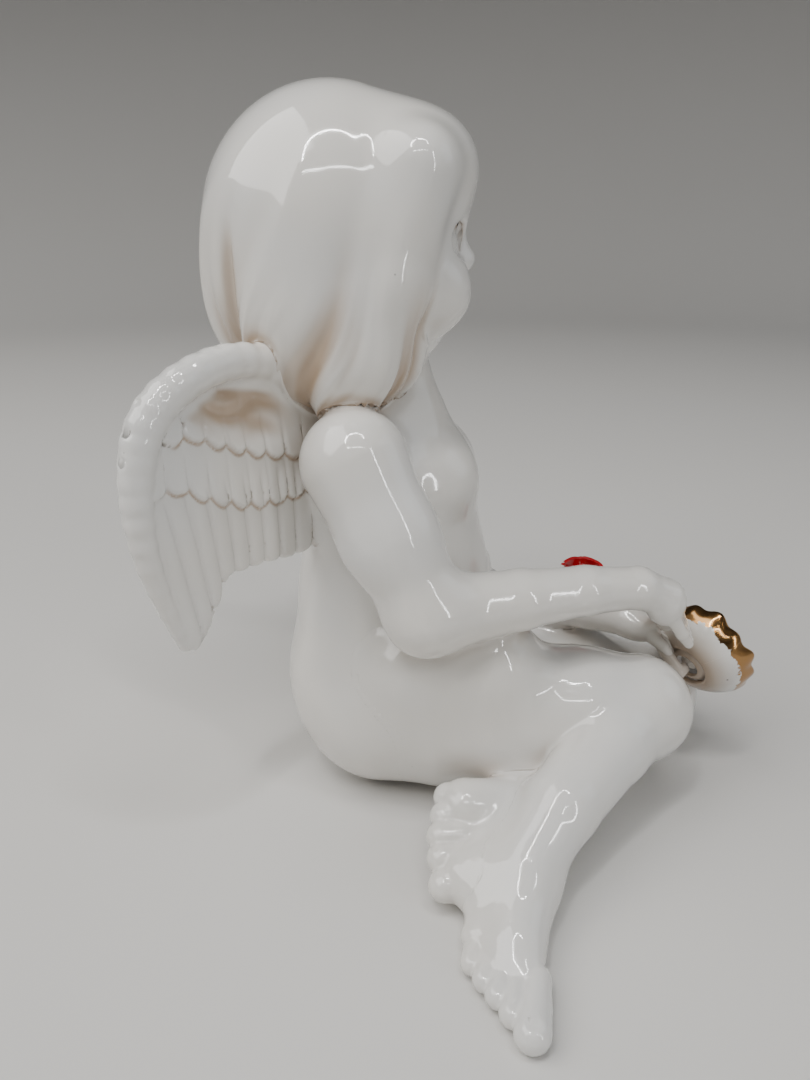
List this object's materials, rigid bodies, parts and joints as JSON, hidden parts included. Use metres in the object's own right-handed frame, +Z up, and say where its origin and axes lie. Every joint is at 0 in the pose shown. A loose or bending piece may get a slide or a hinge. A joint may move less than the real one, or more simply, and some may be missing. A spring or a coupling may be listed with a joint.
{
  "type": "cherub figurine",
  "caption": "Seated winged cherub figurine in white glazed ceramic, legs swept to one side, holding a gilded blossom and a red rosebud.",
  "frame": {"origin": "on the resting surface, under the middle of the figurine's bounding box", "axes": "+Z up, +X the way the thighs point, +Y the figure's left"},
  "size_m": [0.133, 0.1426, 0.1508],
  "materials": {
    "white_glaze": "gloss",
    "gilded_glaze": "gloss with gold lustre on the petal edges",
    "red_glaze": "gloss"
  },
  "bodies": {
    "root": {"torso_casting": "white_glaze", "head_casting": "white_glaze", "right_arm_casting": "white_glaze", "left_arm_casting": "white_glaze", "right_leg_casting": "white_glaze", "left_leg_casting": "white_glaze", "right_wing_casting": "white_glaze", "left_wing_casting": "white_glaze", "blossom_core": "gilded_glaze", "blossom_stem": "gilded_glaze", "blossom_inner_petal_1": "gilded_glaze", "blossom_inner_petal_2": "gilded_glaze", "blossom_inner_petal_3": "gilded_glaze", "blossom_outer_petal_1": "gilded_glaze", "blossom_outer_petal_2": "gilded_glaze", "blossom_outer_petal_3": "gilded_glaze", "blossom_outer_petal_4": "gilded_glaze", "blossom_outer_petal_5": "gilded_glaze", "rosebud_core": "red_glaze", "rosebud_petal_1": "red_glaze", "rosebud_petal_2": "red_glaze", "rosebud_petal_3": "red_glaze", "rosebud_petal_4": "red_glaze"}
  },
  "joints": []
}
